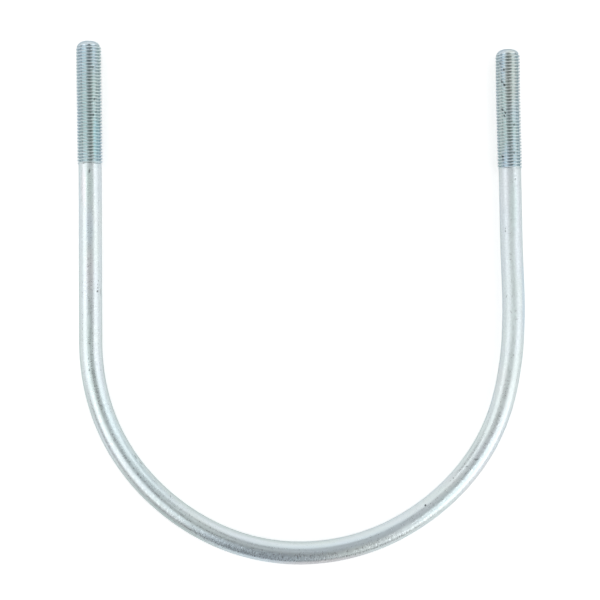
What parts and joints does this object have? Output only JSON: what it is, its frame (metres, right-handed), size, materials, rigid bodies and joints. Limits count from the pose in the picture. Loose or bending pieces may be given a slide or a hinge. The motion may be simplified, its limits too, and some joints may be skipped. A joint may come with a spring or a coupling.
{
  "type": "pipe u-bolt",
  "caption": "Zinc-plated steel rod bent into a U round a large pipe, with a rolled thread and a domed point on the end of each straight leg.",
  "frame": {"origin": "axis of the pipe that the bend goes round, in the middle of the rod's thickness", "axes": "+Y along the legs towards the threaded ends, +X from the left leg to the right leg, +Z along the pipe; the U lies flat"},
  "size_m": [0.4032, 0.4677, 0.0222],
  "materials": {
    "zinc_plated_steel": "bright zinc plating over drawn steel, satin on the shank and bluish grey in the threads"
  },
  "bodies": {
    "root": {"u_bolt": "zinc_plated_steel"}
  },
  "joints": []
}
